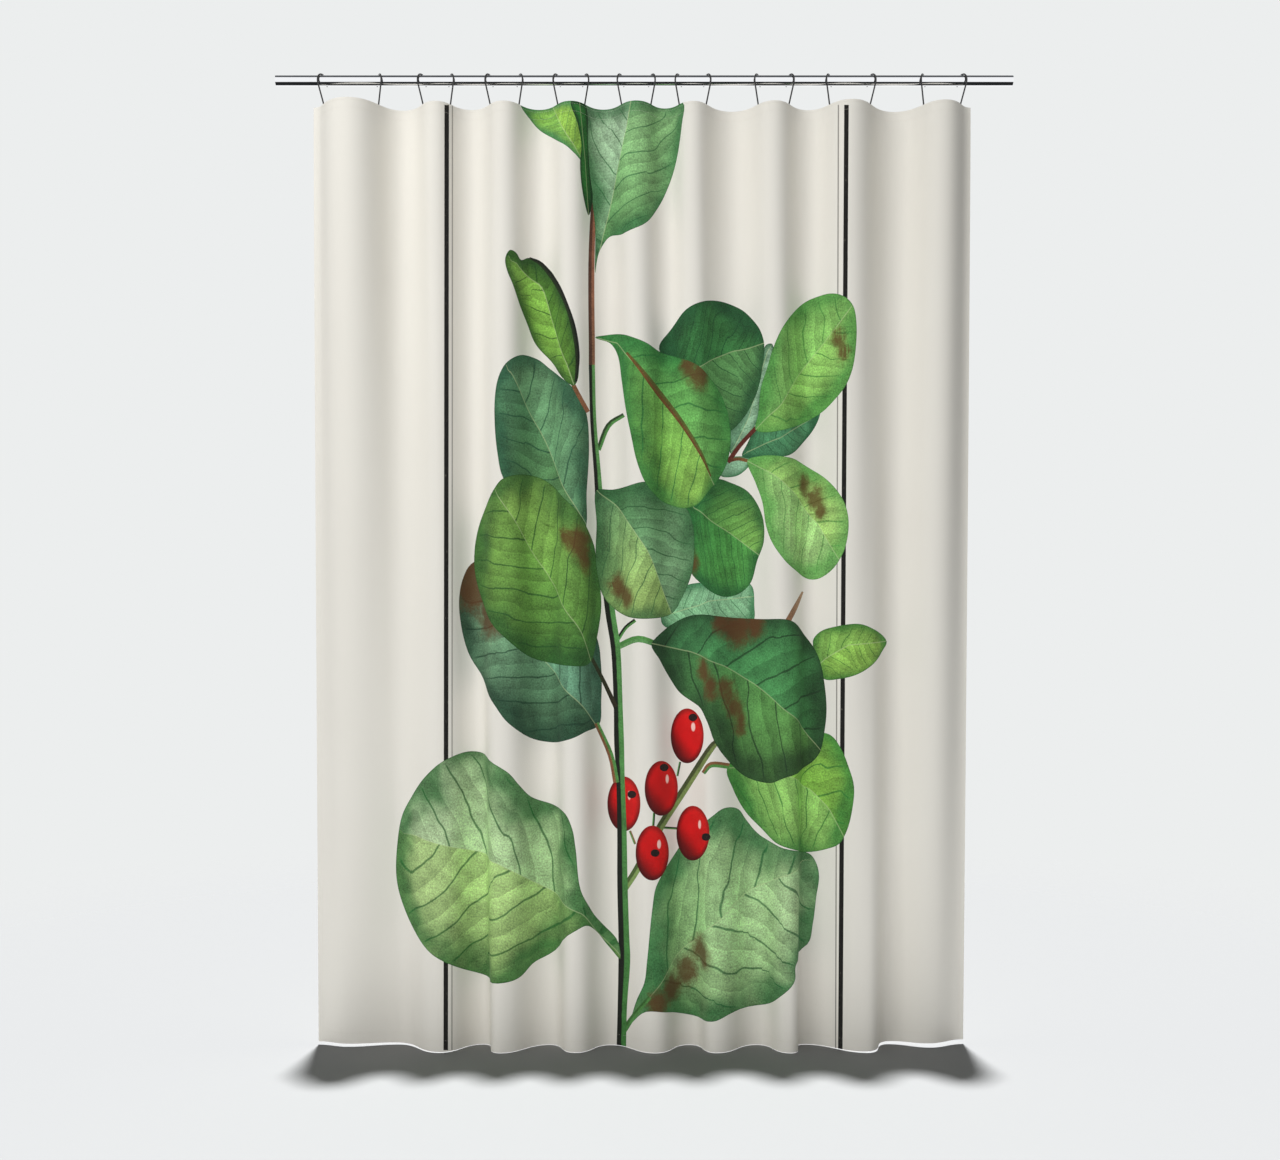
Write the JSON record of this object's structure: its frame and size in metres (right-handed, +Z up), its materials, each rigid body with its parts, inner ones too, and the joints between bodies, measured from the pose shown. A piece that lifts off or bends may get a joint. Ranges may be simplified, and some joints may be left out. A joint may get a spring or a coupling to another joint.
{
  "type": "shower curtain",
  "caption": "Fabric shower curtain with a leafy plant print on planks, hung by open wire hooks and sewn loops from a round rod; it swings and draws to one side.",
  "frame": {"origin": "centre of the rod's left end face, on the rod's centre line", "axes": "+X along the rod to the right as seen from the room, +Z up, -Y towards the room (the curtain's printed face)"},
  "size_m": [1.558, 0.0876, 2.0654],
  "materials": {
    "rod_chrome": "polished",
    "plug_plastic": "matte",
    "hook_wire": "satin",
    "curtain_cloth": "matte",
    "tape_webbing": "matte",
    "loop_webbing": "matte"
  },
  "bodies": {
    "rod": {"rod_tube": "rod_chrome", "rod_plug_left": "plug_plastic", "rod_plug_right": "plug_plastic"},
    "curtain": {"curtain_panel": "curtain_cloth", "heading_tape": "tape_webbing", "hook_01": "hook_wire", "loop_01": "loop_webbing"},
    "hook_02": {"hook_02": "hook_wire", "loop_02": "loop_webbing"},
    "hook_03": {"hook_03": "hook_wire", "loop_03": "loop_webbing"},
    "hook_04": {"hook_04": "hook_wire", "loop_04": "loop_webbing"},
    "hook_05": {"hook_05": "hook_wire", "loop_05": "loop_webbing"},
    "hook_06": {"hook_06": "hook_wire", "loop_06": "loop_webbing"},
    "hook_07": {"hook_07": "hook_wire", "loop_07": "loop_webbing"},
    "hook_08": {"hook_08": "hook_wire", "loop_08": "loop_webbing"},
    "hook_09": {"hook_09": "hook_wire", "loop_09": "loop_webbing"},
    "hook_10": {"hook_10": "hook_wire", "loop_10": "loop_webbing"},
    "hook_11": {"hook_11": "hook_wire", "loop_11": "loop_webbing"},
    "hook_12": {"hook_12": "hook_wire", "loop_12": "loop_webbing"},
    "hook_13": {"hook_13": "hook_wire", "loop_13": "loop_webbing"},
    "hook_14": {"hook_14": "hook_wire", "loop_14": "loop_webbing"},
    "hook_15": {"hook_15": "hook_wire", "loop_15": "loop_webbing"},
    "hook_16": {"hook_16": "hook_wire", "loop_16": "loop_webbing"},
    "hook_17": {"hook_17": "hook_wire", "loop_17": "loop_webbing"},
    "hook_18": {"hook_18": "hook_wire", "loop_18": "loop_webbing"}
  },
  "joints": [
    {"name": "swing", "type": "hinge", "parent": "rod", "child": "curtain", "pos_m": [0, 0, 0], "axis": [1, 0, 0], "range_deg": [-25, 25]},
    {"name": "draw", "type": "slide", "parent": "curtain", "child": "hook_18", "axis": [-1, 0, 0], "range_m": [0, 0.879], "deforming": ["curtain_panel", "heading_tape"]},
    {"name": "draw_17", "type": "slide", "parent": "curtain", "child": "hook_17", "axis": [-1, 0, 0], "range_m": [0, 0.8257]},
    {"name": "draw_16", "type": "slide", "parent": "curtain", "child": "hook_16", "axis": [-1, 0, 0], "range_m": [0, 0.7548]},
    {"name": "draw_15", "type": "slide", "parent": "curtain", "child": "hook_15", "axis": [-1, 0, 0], "range_m": [0, 0.6962]},
    {"name": "draw_14", "type": "slide", "parent": "curtain", "child": "hook_14", "axis": [-1, 0, 0], "range_m": [0, 0.6429]},
    {"name": "draw_13", "type": "slide", "parent": "curtain", "child": "hook_13", "axis": [-1, 0, 0], "range_m": [0, 0.598]},
    {"name": "draw_12", "type": "slide", "parent": "curtain", "child": "hook_12", "axis": [-1, 0, 0], "range_m": [0, 0.529]},
    {"name": "draw_11", "type": "slide", "parent": "curtain", "child": "hook_11", "axis": [-1, 0, 0], "range_m": [0, 0.4893]},
    {"name": "draw_10", "type": "slide", "parent": "curtain", "child": "hook_10", "axis": [-1, 0, 0], "range_m": [0, 0.4529]},
    {"name": "draw_09", "type": "slide", "parent": "curtain", "child": "hook_09", "axis": [-1, 0, 0], "range_m": [0, 0.4099]},
    {"name": "draw_08", "type": "slide", "parent": "curtain", "child": "hook_08", "axis": [-1, 0, 0], "range_m": [0, 0.3618]},
    {"name": "draw_07", "type": "slide", "parent": "curtain", "child": "hook_07", "axis": [-1, 0, 0], "range_m": [0, 0.3221]},
    {"name": "draw_06", "type": "slide", "parent": "curtain", "child": "hook_06", "axis": [-1, 0, 0], "range_m": [0, 0.2714]},
    {"name": "draw_05", "type": "slide", "parent": "curtain", "child": "hook_05", "axis": [-1, 0, 0], "range_m": [0, 0.2291]},
    {"name": "draw_04", "type": "slide", "parent": "curtain", "child": "hook_04", "axis": [-1, 0, 0], "range_m": [0, 0.177]},
    {"name": "draw_03", "type": "slide", "parent": "curtain", "child": "hook_03", "axis": [-1, 0, 0], "range_m": [0, 0.1367]},
    {"name": "draw_02", "type": "slide", "parent": "curtain", "child": "hook_02", "axis": [-1, 0, 0], "range_m": [0, 0.0781]}
  ],
  "couplings": [
    {"joint": "draw_17", "follows": "draw", "ratio": 0.9393},
    {"joint": "draw_16", "follows": "draw", "ratio": 0.85862},
    {"joint": "draw_15", "follows": "draw", "ratio": 0.79201},
    {"joint": "draw_14", "follows": "draw", "ratio": 0.73131},
    {"joint": "draw_13", "follows": "draw", "ratio": 0.68024},
    {"joint": "draw_12", "follows": "draw", "ratio": 0.60178},
    {"joint": "draw_11", "follows": "draw", "ratio": 0.55662},
    {"joint": "draw_10", "follows": "draw", "ratio": 0.51517},
    {"joint": "draw_09", "follows": "draw", "ratio": 0.46632},
    {"joint": "draw_08", "follows": "draw", "ratio": 0.41155},
    {"joint": "draw_07", "follows": "draw", "ratio": 0.3664},
    {"joint": "draw_06", "follows": "draw", "ratio": 0.30866},
    {"joint": "draw_05", "follows": "draw", "ratio": 0.26055},
    {"joint": "draw_04", "follows": "draw", "ratio": 0.20133},
    {"joint": "draw_03", "follows": "draw", "ratio": 0.15544},
    {"joint": "draw_02", "follows": "draw", "ratio": 0.08882}
  ]
}
